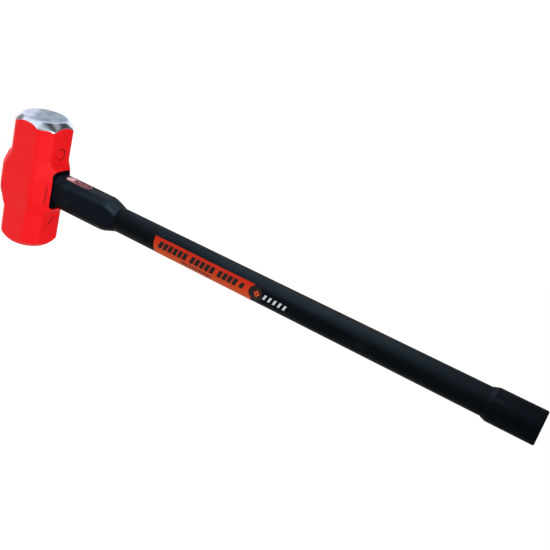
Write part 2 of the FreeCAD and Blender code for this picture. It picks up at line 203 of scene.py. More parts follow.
def forging_waviness(points):
    """Slow unevenness of a hammered and ground forging, in millimetres."""
    x, y, z = points[:, 0], points[:, 1], points[:, 2]
    wave = np.sin(x * 0.13 + 1.7 * np.sin(y * 0.07)) + np.sin(y * 0.17 + 1.3 * np.sin(z * 0.09) + 2)
    wave += np.sin(z * 0.15 + 1.1 * np.sin(x * 0.08) + 4) + 0.5 * np.sin((x + y + z) * 0.31)
    return wave / 3.5


def punch_marks(points):
    """Distance to the plain inspection marks cut into the grip-side flats of the polls."""
    flat = points[:, :2]
    ring = np.abs(np.linalg.norm(flat - np.array(RING_CENTRE), axis=1) - RING_RADIUS)
    stroke = segment_distance(flat, *STROKE)
    outline = np.minimum(ring, stroke) - MARK_HALF_WIDTH
    floor = HEAD_MID + POLL_DEPTH - MARK_DEPTH - points[:, 2]
    marks = smooth_max(outline, floor, MARK_FLOOR_SOFTNESS)
    return np.minimum(marks, segment_distance(points, *CREASE) - CREASE_RADIUS)


def softened(along, values):
    """A station value along the head, averaged over a short run so that the boss's corners turn softly."""
    total = 0.0
    offsets = (-1.0, -0.5, 0.0, 0.5, 1.0)
    for offset in offsets:
        place = np.abs(np.abs(along) + offset * RAMP_SOFTNESS / 2)
        near, far = (np.interp(place, *pair) for pair in zip((NEAR_STATIONS, FAR_STATIONS), values))
        total = total + np.where(along < 0, near, far)
    return total / len(offsets)


def head_field(points):
    """Signed distance, roughly, to the forged head's surface."""
    x, y = points[:, 0], np.abs(points[:, 1])
    z = points[:, 2] - HEAD_MID
    side, grip, rest = (softened(x, values) for values in (SIDE, GRIP, REST))
    grip_corner, rest_corner = (softened(x, values) for values in (GRIP_CORNER, REST_CORNER))
    solid = smooth_max(y - side, z - grip, EDGE_SOFTNESS)
    solid = smooth_max(solid, -z - rest, EDGE_SOFTNESS)
    solid = smooth_max(solid, (y + z - side - grip + grip_corner) / DIAGONAL, EDGE_SOFTNESS)
    solid = smooth_max(solid, (y - z - side - rest + rest_corner) / DIAGONAL, EDGE_SOFTNESS)
    beyond = np.maximum(np.abs(x) - CROWN_CENTRE, 0)
    crown = np.sqrt(beyond ** 2 + y ** 2 + z ** 2) - CROWN_RADIUS
    crown = np.where(beyond > 0, crown, -10.0)
    solid = solid + FORGING_WAVE * (1 + forging_waviness(points))
    solid = smooth_max(solid, crown, CROWN_SOFTNESS)
    solid = smooth_max(solid, np.abs(x) - HEAD_HALF, CROWN_SOFTNESS)
    solid = smooth_max(solid, -punch_marks(points), MARK_EDGE_SOFTNESS)
    eye = rounded_box_distance(x, y, *EYE_HALF)
    mouth_wall = rounded_box_distance(x, y, *MOUTH_HALF)
    floor_gap = np.minimum(z + HEAD_MID, GRIP_DEPTH - z) - MOUTH_DEPTH
    mouth = smooth_max(mouth_wall, floor_gap, MOUTH_SOFTNESS)
    return smooth_max(solid, -np.minimum(eye, mouth), LIP_SOFTNESS)


def build_head():
    head = remeshed_copy("head", "forged_head", HEAD_VOXEL)
    settle_on_surface(head, head_field)
    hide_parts("head")
    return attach(head, "root")


# ---------------------------------------------------------------- the rubber handle's shape

NECK_END = NECK_HIGH[2]
NECK_ROOT = HEAD_HIGH[2]
NECK_FLARE = 105.0
NECK_CONE_START = 171.5
NECK_CONE_RADIUS = 23.5
NECK_DEPTH = 21.5
NECK_WIDTHS = (14.4, 16.4, 16.4)
NECK_FLATS = (9.0, 10.0, 10.0)
NECK_BEVELS = (9.0, 9.0, 6.5)
SLEEVE_START_RADIUS = 16.4
SLEEVE_END_RADIUS = SLEEVE_HIGH[0]
COLLAR_RADIUS = COLLAR_HIGH[0]
COLLAR_SHOULDER = 707.5
COLLAR_EDGE = 1.8
COLLAR_LIP = 0.5
COLLAR_LIP_STEP = 0.35
AROUND = 160
FACET_SOFTNESS = 1.6
CONE_SOFTNESS = 2.2
NECK_REACH = (5.0, 30.0)
FLANGE_REACH = 40.0
FLANGE_GAP = 0.15
NECK_SWELL = 0.22
NECK_SWELL_PITCH = 2.6


def neck_distance(x, y, z):
    """Signed distance, roughly, to the neck's skin."""
    stations = (NECK_ROOT, NECK_FLARE, NECK_END)
    half_width, flat, bevel = (np.interp(z, stations, values) for values in (NECK_WIDTHS, NECK_FLATS, NECK_BEVELS))
    drop = half_width - flat
    slope = np.hypot(bevel, drop)
    facet = ((np.abs(x) - NECK_DEPTH) * drop + (np.abs(y) - flat) * bevel) / slope
    body = smooth_max(np.abs(x) - NECK_DEPTH, facet, FACET_SOFTNESS)
    body = smooth_max(body, np.abs(y) - half_width, FACET_SOFTNESS)
    run = NECK_END - NECK_CONE_START
    cone_radius = NECK_CONE_RADIUS + (SLEEVE_START_RADIUS - NECK_CONE_RADIUS) * (z - NECK_CONE_START) / run
    cone = np.hypot(x, y) - np.maximum(cone_radius, SLEEVE_START_RADIUS)
    return smooth_max(body, cone, CONE_SOFTNESS)


def tube_mesh(rings):
    """Points and faces that join rings of points, with a fan over each end."""
    faces = []
    for ring in range(len(rings) - 1):
        for index in range(AROUND):
            following = (index + 1) % AROUND
            low, high = ring * AROUND, (ring + 1) * AROUND
            faces.append((low + index, low + following, high + following, high + index))
    first_middle = len(rings) * AROUND
    last_middle = first_middle + 1
    last = (len(rings) - 1) * AROUND
    faces += [(first_middle, (index + 1) % AROUND, index) for index in range(AROUND)]
    faces += [(last_middle, last + index, last + (index + 1) % AROUND) for index in range(AROUND)]
    middles = np.array([rings[0].mean(0), rings[-1].mean(0)])
    return np.concatenate([*rings, middles]), faces


def ring_at(radius, height):
    """A ring of points round the axis. radius is one number or one for each angle."""
    theta = np.arange(AROUND) * 2 * math.pi / AROUND
    return np.stack([radius * np.cos(theta), radius * np.sin(theta), np.full(AROUND, float(height))], axis=1)


def neck_ring(height):
    """The neck's outline at a height, with a slight swell towards the cone."""
    theta = np.arange(AROUND) * 2 * math.pi / AROUND
    radius = reach_along(lambda x, y: neck_distance(x, y, height) < 0, theta, *NECK_REACH)
    ring = ring_at(radius, height)
    swell = NECK_SWELL * ramp(height, BADGE_HIGH[2] + 2, NECK_CONE_START) * ramp(NECK_END - height, 0, 4)
    ring[:, :2] *= 1 + (swell * forging_waviness(ring * NECK_SWELL_PITCH) / radius)[:, None]
    return ring


def build_neck():
    straight = np.linspace(NECK_ROOT - 3, NECK_CONE_START - 12, 60)
    cone = np.linspace(NECK_CONE_START - 11, NECK_END, 50)
    points, faces = tube_mesh([neck_ring(height) for height in (*straight, *cone)])
    neck = new_object("neck_boot_skin", points, faces)
    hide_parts("neck_boot")
    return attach(neck, "root")


def build_mouth_flange():
    """The rubber flange that fills the head's grip-side mouth round the neck."""
    theta = np.arange(AROUND) * 2 * math.pi / AROUND
    levels = ((NECK_LOW[2], 0.0), (NECK_ROOT - 2.4, 0.0), (NECK_ROOT - 1.6, 0.5), (NECK_ROOT - 1.3, 1.4))
    rings = []
    for height, inset in levels:
        half_x, half_y, corner = (value - inset - FLANGE_GAP for value in MOUTH_HALF)
        radius = reach_along(
            lambda x, y: rounded_box_distance(x, y, half_x, half_y, corner) < 0, theta, 0.0, FLANGE_REACH
        )
        rings.append(ring_at(radius, height))
    points, faces = tube_mesh(rings)
    flange = new_object("mouth_flange", points, faces)
    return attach(flange, "root")


def lathe(name, profile):
    """A turned piece from (radius, height) pairs."""
    points, faces = tube_mesh([ring_at(radius, height) for radius, height in profile])
    return new_object(name, points, faces)


def sleeve_radius(height):
    share = (height - NECK_END) / (SLEEVE_HIGH[2] - NECK_END)
    return SLEEVE_START_RADIUS + (SLEEVE_END_RADIUS - SLEEVE_START_RADIUS) * share


def build_sleeve():
    profile = [(sleeve_radius(height), height) for height in np.linspace(NECK_END, SLEEVE_HIGH[2], 180)]
    sleeve = lathe("shaft_sleeve_skin", profile)
    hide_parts("shaft_sleeve")
    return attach(sleeve, "root")


def arc_profile(centre_radius, centre_height, radius, start, end, steps):
    """Points of a quarter-round edge, as (radius, height)."""
    turn = np.radians(np.linspace(start, end, steps))
    return [(centre_radius + radius * math.cos(a), centre_height + radius * math.sin(a)) for a in turn]


def build_collar():
    start, end = COLLAR_LOW[2], COLLAR_HIGH[2]
    root = sleeve_radius(start)
    foot = root + COLLAR_LIP_STEP + COLLAR_LIP
    profile = [(root - COLLAR_LIP, start)]
    profile += arc_profile(root + COLLAR_LIP_STEP, start + COLLAR_LIP, COLLAR_LIP, -90, 0, 5)
    for share in np.linspace(0.12, 1, 12):
        height = start + (COLLAR_SHOULDER - start) * share
        profile.append((foot + (COLLAR_RADIUS - foot) * float(ramp(share, 0, 1)), height))
    top = end - COLLAR_EDGE
    profile += [(COLLAR_RADIUS, height) for height in np.linspace(COLLAR_SHOULDER + 2, top - 0.5, 30)]
    profile += arc_profile(COLLAR_RADIUS - COLLAR_EDGE, top, COLLAR_EDGE, 0, 90, 8)
    profile += [(radius, end) for radius in (16.0, 12.0, 8.0, 4.0)]
    collar = lathe("butt_collar_skin", profile)
    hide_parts("butt_collar")
    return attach(collar, "root")


# ---------------------------------------------------------------- films on the handle

LABEL_START_ANGLE = 234.0
LABEL_SWEEP = 106.0
EMBLEM_ANGLE = 268.0
EMBLEM_HEIGHT = 409.8
EMBLEM_RADIUS = 9.3
EMBLEM_GAP = 0.5
DEGREES_PER_MM = math.degrees(1 / 16.7)
FILM_GAP = 0.02
FILM = 0.22
INK = 0.05
HEART_INK = 0.04
PALE_INK_THICKNESS = 0.06
BAR_ANGLES = (247.5, 279.0)
BAR_GROUPS = (6, 5, 4)
BARS_START, BAR_PITCH, BAR_GROUP_GAP = 7.5, 7.4, 4.0
TICK_ANGLES = (290.0, 303.0)
TICKS_START, TICK_PITCH, TICK_COUNT = 44.0, 3.3, 14
PALE_BAR_ANGLES = (256.0, 278.0)
PALE_BAR_TURN, PALE_BAR_PITCH, PALE_BAR_COUNT = 0.9, 6.9, 5
FILM_SPACING = (2.0, 3.0)
FILM_WELD = 0.01


def film_mesh(bm, outline, place, lift, thickness):
    """Add a thin film to bm: outline holds the corners of a flat shape, and place lays a point down."""
    part = bmesh.new()
    part.faces.new([part.verts.new((u, v, 0)) for u, v in outline])
    for axis in (0, 1):
        values = [corner[axis] for corner in outline]
        count = max(1, int((max(values) - min(values)) / FILM_SPACING[axis]))
        for cut in range(1, count):
            where = min(values) + (max(values) - min(values)) * cut / count
            origin = Vector((where, 0, 0)) if axis == 0 else Vector((0, where, 0))
            normal = Vector((1, 0, 0)) if axis == 0 else Vector((0, 1, 0))
            geometry = part.verts[:] + part.edges[:] + part.faces[:]
            bmesh.ops.bisect_plane(part, geom=geometry, plane_co=origin, plane_no=normal)
    bmesh.ops.remove_doubles(part, verts=part.verts[:], dist=FILM_WELD)
    raised = bmesh.ops.extrude_face_region(part, geom=part.faces[:])
    for item in raised["geom"]:
        if isinstance(item, bmesh.types.BMVert):
            item.co.z = thickness
    bmesh.ops.recalc_face_normals(part, faces=part.faces)
    part.verts.index_update()
    made = [bm.verts.new(Vector(place(v.co.x, v.co.y, lift + v.co.z)) * MM) for v in part.verts]
    for face in part.faces:
        bm.faces.new([made[v.index] for v in face.verts])
    part.free()


def film_object(name, outlines, place, lift, thickness):
    """One piece made of thin films."""
    bm = bmesh.new()
    for outline in outlines:
        film_mesh(bm, outline, place, lift, thickness)
    bmesh.ops.recalc_face_normals(bm, faces=bm.faces)
    mesh = bpy.data.meshes.new(name)
    bm.to_mesh(mesh)
    bm.free()
    obj = bpy.data.objects.new(name, mesh)
    bpy.context.scene.collection.objects.link(obj)
    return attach(obj, "root")


def on_sleeve(degrees, height, rise):
    angle = math.radians(degrees)
    radius = sleeve_radius(height) + rise
    return radius * math.cos(angle), radius * math.sin(angle), height


def slanted_bar(angle_low, angle_high, start, width, slant):
    """Corners of a bar across the label, leaning by slant millimetres."""
    return [
        (angle_low, start + slant),
        (angle_high, start),
        (angle_high, start + width),
        (angle_low, start + width + slant),
    ]


def disc_edge(radius, first_turn, last_turn, corners):
    """Corners along a circle round the emblem's middle, as (angle on the sleeve, height)."""
    turns = np.radians(np.linspace(first_turn, last_turn, corners))
    return [
        (EMBLEM_ANGLE + radius * DEGREES_PER_MM * math.cos(turn), EMBLEM_HEIGHT + radius * math.sin(turn))
        for turn in turns
    ]


def diamond(angle, height, half_angle, half_length):
    return [
        (angle, height - half_length),
        (angle + half_angle, height),
        (angle, height + half_length),
        (angle - half_angle, height),
    ]


def build_label():
    low, high = LABEL_START_ANGLE, LABEL_START_ANGLE + LABEL_SWEEP
    start, end = LABEL_LOW[2], LABEL_HIGH[2]
    notch = disc_edge(EMBLEM_RADIUS + EMBLEM_GAP, -35, -150, 16)
    outline = [(low, start), (high, start + 2.5), (high, end - 1.5), *notch, (low, end)]
    label = film_object("label_film", [outline], on_sleeve, FILM_GAP, FILM)
    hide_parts("label_decal")
    return label


def build_label_bars():
    """Plain slanted bars along the label's upper half, in three groups, and a line of small ticks under them."""
    bars = []
    height = LABEL_LOW[2] + BARS_START
    for count in BAR_GROUPS:
        for _ in range(count):
            bars.append(slanted_bar(*BAR_ANGLES, height, 5.6, 2.6))
            height += BAR_PITCH
        height += BAR_GROUP_GAP
    bars.append(slanted_bar(252.0, 277.0, height - 1.5, 5.5, 2.6))
    ticks = [
        slanted_bar(*TICK_ANGLES, LABEL_LOW[2] + TICKS_START + index * TICK_PITCH, 2.0, 0.8)
        for index in range(TICK_COUNT)
    ]
    piece = film_object("label_bars", bars + ticks, on_sleeve, FILM_GAP + FILM, INK)
    return piece


def build_emblem():
    """A plain dark disc at the label's end, with an orange diamond that has a dark heart."""
    disc = disc_edge(EMBLEM_RADIUS, 0, 345, 24)
    emblem = film_object("emblem_film", [disc], on_sleeve, FILM_GAP, FILM)
    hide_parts("emblem_decal")
    angle, height = EMBLEM_ANGLE - 1.0, EMBLEM_HEIGHT + 1.7
    on_disc = FILM_GAP + FILM
    inner = film_object("emblem_diamond", [diamond(angle, height, 14.5, 4.2)], on_sleeve, on_disc, INK)
    heart = film_object("emblem_heart", [diamond(angle, height, 5.4, 1.6)], on_sleeve, on_disc + INK, HEART_INK)
    return emblem, inner, heart


def build_pale_bars():
    """Plain pale bars printed on the sleeve beside the emblem."""
    start = EMBLEM_HEIGHT + EMBLEM_RADIUS + 0.8
    bars = []
    for index in range(PALE_BAR_COUNT):
        low, high = (angle + index * PALE_BAR_TURN for angle in PALE_BAR_ANGLES)
        bars.append(slanted_bar(low, high, start + index * PALE_BAR_PITCH, 3.0, 2.4))
    piece = film_object("sleeve_bars", bars, on_sleeve, 0.0, PALE_INK_THICKNESS)
    return piece


# ---------------------------------------------------------------- the neck's badge

TANGENT_STEP = 0.3


def neck_perimeter(height):
    """Running length and x, y of the neck's outline, from the middle of the near flat."""
    turn = np.radians(np.linspace(-75, 75, 301))
    angle = math.pi + turn
    radius = reach_along(lambda x, y: neck_distance(x, y, height) < 0, angle, *NECK_REACH)
    x, y = radius * np.cos(angle), radius * np.sin(angle)
    run = np.concatenate([[0], np.cumsum(np.hypot(np.diff(x), np.diff(y)))])
    run -= np.interp(0.0, turn, run)
    return run, x, y


def on_neck(across, height, rise):
    """A point on the neck: across is measured over the skin towards -Y, from the middle of the near flat."""
    run, x, y = neck_perimeter(height)
    before, here, after = (
        np.array([np.interp(across + step, run, x), np.interp(across + step, run, y)])
        for step in (-TANGENT_STEP, 0.0, TANGENT_STEP)
    )
    tangent = (after - before) / np.linalg.norm(after - before)
    normal = np.array([tangent[1], -tangent[0]])
    if normal @ here < 0:
        normal = -normal
    placed = here + normal * rise
    return placed[0], placed[1], height


def chamfered(low, high, start, end, corner):
    """Corners of a rectangle with its corners cut off."""
    return [
        (low + corner, start),
        (high - corner, start),
        (high, start + corner),
        (high, end - corner),
        (high - corner, end),
        (low + corner, end),
        (low, end - corner),
        (low, start + corner),
    ]


BADGE_ACROSS = (-7.0, 7.0)
BADGE_INSET = 2.0
BADGE_PALE_RUN = 14.0
BADGE_RIM = 1.2
BADGE_FILM = 0.3
BADGE_INK = 0.06
BADGE_BAR_PITCH, BADGE_BAR_COUNT = 4.6, 4


def build_badge():
    low, high = BADGE_ACROSS
    start, end = BADGE_LOW[2] + BADGE_INSET, BADGE_HIGH[2]
    rim = film_object("neck_badge_rim", [chamfered(low, high, start, end, 5.0)], on_neck, FILM_GAP, BADGE_FILM)
    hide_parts("neck_badge")
    pale_end = start + BADGE_PALE_RUN
    left, right = low + BADGE_RIM, high - BADGE_RIM
    on_rim = FILM_GAP + BADGE_FILM
    block_outline = chamfered(left, right, start + BADGE_RIM, pale_end - 1.6, 3.6)
    block = film_object("neck_badge_block", [block_outline], on_neck, on_rim, BADGE_INK)
    field_outline = chamfered(left, right, pale_end, end - BADGE_RIM, 4.2)
    field = film_object("neck_badge_field", [field_outline], on_neck, on_rim, BADGE_INK)
    bars = []
    for index in range(BADGE_BAR_COUNT):
        height = pale_end + 3.5 + index * BADGE_BAR_PITCH
        bars.append([(-3.0, height + 1.2), (3.0, height), (3.0, height + 2.2), (-3.0, height + 3.4)])
    marks = film_object("neck_badge_bars", bars, on_neck, on_rim + BADGE_INK, INK)
    return rim, block, field, marks


# ---------------------------------------------------------------- materials


class Shader:
    """A material and short calls for its nodes."""

    def __init__(self, name, **settings):
        self.made = bpy.data.materials.new(name)
        self.made.use_nodes = True
        self.tree = self.made.node_tree
        self.surface = self.tree.nodes["Principled BSDF"]
        for key, value in settings.items():
            self.surface.inputs[key.replace("_", " ")].default_value = value
        self.place = self.node("ShaderNodeTexCoord").outputs["Object"]

    def node(self, kind, links=None, **settings):
        made = self.tree.nodes.new(kind)
        for key, value in settings.items():
            setattr(made, key, value)
        for key, value in (links or {}).items():
            self.feed(made.inputs[key], value)
        return made

    def feed(self, socket, value):
        if isinstance(value, bpy.types.NodeSocket):
            self.tree.links.new(value, socket)
        else:
            socket.default_value = value

    def math(self, operation, first, second=0.0, clamp=False):
        made = self.node("ShaderNodeMath", {0: first, 1: second}, operation=operation, use_clamp=clamp)
        return made.outputs[0]

    def vector(self, operation, first, second, output="Vector"):
        return self.node("ShaderNodeVectorMath", {0: first, 1: second}, operation=operation).outputs[output]

    def noise(self, scale, detail=3.0, rough=0.5, place=None):
        links = {"Vector": place or self.place, "Scale": scale, "Detail": detail, "Roughness": rough}
        return self.node("ShaderNodeTexNoise", links).outputs["Fac"]

    def remap(self, value, low, high, out_low=0.0, out_high=1.0, smooth=False):
        links = {"Value": value, "From Min": low, "From Max": high, "To Min": out_low, "To Max": out_high}
        kind = "SMOOTHSTEP" if smooth else "LINEAR"
        return self.node("ShaderNodeMapRange", links, interpolation_type=kind).outputs["Result"]

    def blend(self, share, first, second, kind=None):
        """Mix two colours, numbers or vectors by share."""
        colour = any(isinstance(value, tuple) or getattr(value, "type", "") == "RGBA" for value in (first, second))
        made = self.node("ShaderNodeMix", data_type=kind or ("RGBA" if colour else "FLOAT"))
        sockets = [item for item in made.inputs if item.enabled]
        for socket, value in zip(sockets, (share, first, second)):
            self.feed(socket, value)
        return next(item for item in made.outputs if item.enabled)

    def axis(self, index):
        return self.node("ShaderNodeSeparateXYZ", {0: self.place}).outputs[index]

    def stretched(self, x, y, z):
        """Coordinates scaled along each axis, for grain that runs one way."""
        return self.vector("MULTIPLY", self.place, (x, y, z))

    def bump(self, height, strength, distance, after=None):
        links = {"Height": height, "Strength": strength, "Distance": distance}
        if after is not None:
            links["Normal"] = after
        return self.node("ShaderNodeBump", links).outputs["Normal"]

    def set(self, **sockets):
        for key, value in sockets.items():
            self.feed(self.surface.inputs[key.replace("_", " ")], value)
        return self.made


def recess_shade(shader):
    """Painted shade: where the paint is made dark in the ring, the stroke and the forging crease, standing in for
    the shade in these recesses.
    """
    flat = shader.vector("MULTIPLY", shader.place, (1, 1, 0))
    on_grip_flat = shader.math("GREATER_THAN", shader.axis(2), (HEAD_MID + POLL_DEPTH - 3.0) * MM)
    ring_centre = (RING_CENTRE[0] * MM, RING_CENTRE[1] * MM, 0.0)
    reach = shader.vector("DISTANCE", flat, ring_centre, "Value")
    off_ring = shader.math("ABSOLUTE", shader.math("SUBTRACT", reach, RING_RADIUS * MM))
    ring = shader.remap(off_ring, 1.9 * MM, 1.0 * MM)
    # Painted shade: the ring is darkened less towards -Y and most towards +Y.
    ring = shader.math("MULTIPLY", ring, shader.remap(shader.axis(1), -5 * MM, 4 * MM, 0.3, 1.0))
    start, end = (Vector((x, y, 0)) * MM for x, y in STROKE)
    middle, half, along = (start + end) / 2, (end - start).length / 2, (end - start).normalized()
    from_middle = shader.vector("SUBTRACT", flat, middle)
    run = shader.math("ABSOLUTE", shader.vector("DOT_PRODUCT", from_middle, along, "Value"))
    across = Vector((-along.y, along.x, 0))
    off_stroke = shader.math("ABSOLUTE", shader.vector("DOT_PRODUCT", from_middle, across, "Value"))
    stroke = shader.remap(off_stroke, 1.9 * MM, 1.1 * MM)
    stroke = shader.math("MULTIPLY", stroke, shader.remap(run, half + MM, half))
    marks = shader.math("MULTIPLY", shader.math("MAXIMUM", ring, stroke), on_grip_flat)
    low, high = (Vector(point) * MM for point in CREASE)
    centre = (low + high) / 2
    section = shader.vector("MULTIPLY", shader.place, (0, 1, 1))
    off_crease = shader.vector("DISTANCE", section, (0, centre.y, centre.z), "Value")
    beside = shader.math("ABSOLUTE", shader.math("SUBTRACT", shader.axis(0), centre.x))
    crease = shader.remap(off_crease, 2.2 * MM, 1.2 * MM)
    half_run = (high.x - low.x) / 2
    crease = shader.math("MULTIPLY", crease, shader.remap(beside, half_run, half_run - 3 * MM))
    return shader.math("MAXIMUM", marks, shader.math("MULTIPLY", crease, 0.7))


NEAR_CROWN_START = -0.070
# A dark spot painted on the near bevel, standing in for a dark reflection.
BEVEL_DARK_REFLECTION_SPOT = (-0.0843, -0.0299, 0.0282)
ENAMEL = (0.72, 0.0035, 0.0060, 1), (0.80, 0.006, 0.010, 1)
SCUFFED_ENAMEL = (0.52, 0.010, 0.011, 1)
# Painted shade: enamel darkened as shade in the punch marks and the crease.
RECESS_PAINTED_SHADE_ENAMEL = (0.24, 0.0025, 0.004, 1)
# The near face's steel, and the brighter copy of it that is painted on as a highlight.
PLAIN_FACE_STEEL = (0.060, 0.120, 0.185, 1), (0.165, 0.235, 0.32, 1)
FACE_PAINTED_HIGHLIGHT = (0.40, 0.43, 0.60, 1), (0.56, 0.60, 0.82, 1)
BEVEL_STEEL = (0.50, 0.59, 0.69, 1), (0.72, 0.80, 0.90, 1)
PAINTED_DARK_REFLECTION_STEEL = (0.15, 0.13, 0.16, 1)
GROUND_STEEL = (0.30, 0.31, 0.33, 1), (0.55, 0.56, 0.58, 1)


def head_material():
    """Red enamel on a forging, with the near crown polished bare and the far face ground bare; painted shade in
    the marks and crease, a painted highlight on the near face and a painted dark reflection on its bevel.
    """
    shader = Shader("red_enamel_and_polished_steel", Specular_IOR_Level=0.13)
    x = shader.axis(0)
    centre = (-CROWN_CENTRE * MM, 0.0, HEAD_MID * MM)
    reach = shader.vector("DISTANCE", shader.place, centre, "Value")
    unevenness = shader.noise(160.0, 2.0)
    reach = shader.math("ADD", reach, shader.math("MULTIPLY", shader.math("SUBTRACT", unevenness, 0.5), 0.0006))
    crown = shader.remap(reach, (CROWN_RADIUS - 0.62) * MM, (CROWN_RADIUS - 0.42) * MM)
    near = shader.remap(x, NEAR_CROWN_START, NEAR_CROWN_START - 0.0005)
    crown = shader.math("MULTIPLY", crown, near)
    near_face = shader.math("GREATER_THAN", shader.math("MULTIPLY", x, -1.0), (HEAD_HALF - 1.2) * MM)
    far_face = shader.math("GREATER_THAN", x, (HEAD_HALF - 0.22) * MM)
    near_steel = shader.math("MAXIMUM", crown, near_face)
    steel = shader.math("MAXIMUM", near_steel, far_face)

    cloud = shader.noise(28.0, 3.0)
    enamel = shader.blend(cloud, *ENAMEL)
    scuffs = shader.noise(90.0, 6.0, 0.7, shader.stretched(1.0, 1.0, 3.5))
    scuff = shader.remap(scuffs, 0.69, 0.78, smooth=True)
    enamel = shader.blend(shader.math("MULTIPLY", scuff, 0.35), enamel, SCUFFED_ENAMEL)
    # Painted shade: the enamel is darkened in the punch marks and the crease.
    enamel = shader.blend(shader.math("MULTIPLY", recess_shade(shader), 0.8), enamel, RECESS_PAINTED_SHADE_ENAMEL)

    turned = {"Vector": shader.stretched(6.0, 1.0, 1.0), "Scale": 260.0, "Detail": 4.0}
    turning = shader.node("ShaderNodeTexNoise", turned).outputs["Fac"]
    smear = shader.noise(75.0, 3.0, 0.6)
    # Painted highlight: lift makes the near face brighter towards the -Y, -Z side of its edge and in a ring just
    # inside its rim.
    toward_edge = shader.vector("DOT_PRODUCT", shader.place, (0.0, 0.49, 0.87), "Value")
    edge_run = shader.math("SUBTRACT", toward_edge, 0.87 * HEAD_MID * MM)
    lift = shader.remap(edge_run, -0.008, -0.018, smooth=True)
    across = shader.vector("MULTIPLY", shader.place, (0, 1, 1))
    from_axis = shader.vector("DISTANCE", across, (0, 0, HEAD_MID * MM), "Value")
    lift = shader.math("MAXIMUM", lift, shader.remap(from_axis, 25.8 * MM, 27.6 * MM, 0.0, 0.85))
    plain_face = shader.blend(shader.remap(smear, 0.38, 0.62), *PLAIN_FACE_STEEL)
    # Painted highlight: the brighter copy of the face steel, blended in by lift.
    polished = shader.blend(shader.remap(smear, 0.38, 0.62), *FACE_PAINTED_HIGHLIGHT)
    face = shader.blend(lift, plain_face, polished)
    bevel = shader.blend(shader.remap(smear, 0.3, 0.7), *BEVEL_STEEL)
    # Painted reflection: a dark spot on the near bevel, where a dark reflection falls.
    dark_reflection_reach = shader.vector("DISTANCE", shader.place, BEVEL_DARK_REFLECTION_SPOT, "Value")
    painted_dark_reflection = shader.remap(dark_reflection_reach, 0.011, 0.003, smooth=True)
    bevel = shader.blend(painted_dark_reflection, bevel, PAINTED_DARK_REFLECTION_STEEL)
    bare = shader.blend(near_face, bevel, face)
    ground = shader.blend(turning, *GROUND_STEEL)
    metal = shader.blend(far_face, bare, ground)

    paint_gloss = shader.remap(cloud, 0.3, 0.7, 0.46, 0.58)
    metal_gloss = shader.remap(smear, 0.3, 0.7, 0.12, 0.20)
    metal_gloss = shader.blend(far_face, metal_gloss, 0.42)
    peel = shader.bump(shader.noise(420.0, 2.0), 0.10, 0.0006)
    peel = shader.bump(shader.noise(75.0, 2.0), 0.16, 0.003, peel)
    brushed = shader.bump(turning, 0.06, 0.0006)
    shader.set(
        Base_Color=shader.blend(steel, enamel, metal),
        Metallic=steel,
        Roughness=shader.blend(steel, paint_gloss, metal_gloss),
        Normal=shader.blend(steel, peel, brushed, "VECTOR"),
    )
    return shader.made


def rubber_material(name, grain=900.0, strength=0.22, streaks=True, shine=0.05):
    """Black vulcanised rubber: mould grain, faint flow marks along the handle, dusty scuffs."""
    shader = Shader(name, IOR=1.4, Specular_IOR_Level=shine, Specular_Tint=(0.64, 0.83, 1.0, 1))
    cloud = shader.noise(22.0, 4.0, 0.6)
    flow = shader.noise(55.0, 4.0, 0.6, shader.stretched(1.0, 1.0, 0.12))
    speck = shader.noise(grain, 3.0, 0.6)
    base = shader.blend(cloud, (0.0003, 0.0005, 0.0008, 1), (0.0009, 0.0013, 0.0020, 1))
    dust = shader.remap(shader.math("MULTIPLY", flow, cloud), 0.30, 0.42, smooth=True)
    base = shader.blend(shader.math("MULTIPLY", dust, 0.5), base, (0.005, 0.006, 0.008, 1))
    gloss = shader.remap(flow, 0.3, 0.7, 0.40, 0.56)
    normal = shader.bump(speck, strength, 0.0004)
    if streaks:
        normal = shader.bump(flow, 0.12, 0.001, normal)
    shader.set(Base_Color=base, Roughness=gloss, Normal=normal)
    return shader.made


def label_material():
    """Printed vinyl: orange-red that warms to orange towards the far edge, with a fine print grain."""
    shader = Shader("label_vinyl", Specular_IOR_Level=0.06)
    warm = shader.remap(shader.axis(0), -0.009, 0.013)
    grain = shader.noise(650.0, 2.0)
    cloud = shader.noise(60.0, 3.0)
    base = shader.blend(warm, (0.45, 0.016, 0.006, 1), (0.47, 0.064, 0.004, 1))
    shade = shader.math("MULTIPLY", grain, 0.22)
    base = shader.blend(shade, base, (0.30, 0.018, 0.005, 1))
    shader.set(
        Base_Color=base,
        Roughness=shader.remap(cloud, 0.3, 0.7, 0.34, 0.5),
        Normal=shader.bump(grain, 0.08, 0.0003),
    )
    return shader.made


def print_material(name, low, high, gloss=0.45):
    """Printing ink or film with a slight mottle."""
    shader = Shader(name, Specular_IOR_Level=0.08)
    mottle = shader.noise(380.0, 3.0, 0.6)
    shader.set(
        Base_Color=shader.blend(mottle, low, high),
        Roughness=shader.remap(mottle, 0.2, 0.8, gloss - 0.08, gloss + 0.1),
        Normal=shader.bump(mottle, 0.08, 0.0003),
    )
    return shader.made


def steel_material(name, low, high, grain, gloss):
    """Bright or dark drawn steel, with grain along one way and faint oxide bloom."""
    shader = Shader(name, Metallic=1.0)
    lines = shader.noise(300.0, 4.0, 0.6, shader.stretched(*grain))
    bloom = shader.noise(90.0, 4.0, 0.6)
    base = shader.blend(bloom, low, high)
    base = shader.blend(shader.remap(bloom, 0.62, 0.75), base, (0.20, 0.15, 0.11, 1))
    shader.set(
        Base_Color=base,
        Roughness=shader.remap(lines, 0.3, 0.7, gloss - 0.08, gloss + 0.12),
        Normal=shader.bump(lines, 0.15, 0.0004),
    )
    return shader.made


